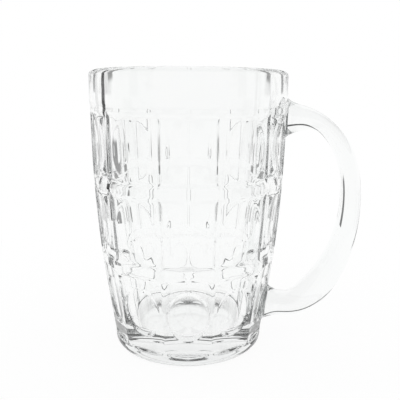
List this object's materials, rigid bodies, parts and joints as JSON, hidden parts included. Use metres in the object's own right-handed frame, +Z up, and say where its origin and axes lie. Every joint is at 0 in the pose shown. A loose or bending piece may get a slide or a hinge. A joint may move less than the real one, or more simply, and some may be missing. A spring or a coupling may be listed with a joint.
{
  "type": "glass beer mug",
  "caption": "Thick pressed-glass beer mug: a plain drinking band, two rows of window panels with oval dimples, dimpled facets above a round foot, and a curved glass handle.",
  "frame": {"origin": "on the cup's axis, in the plane that the foot rests on", "axes": "+Z up along the cup's axis, +X towards the handle, +Y across the handle's plane"},
  "size_m": [0.1274, 0.092, 0.131],
  "materials": {
    "pressed_glass": "polished clear soda-lime glass",
    "handle_glass": "fire-polished clear soda-lime glass"
  },
  "bodies": {
    "root": {"mug_body": "pressed_glass", "handle": "handle_glass"}
  },
  "joints": []
}
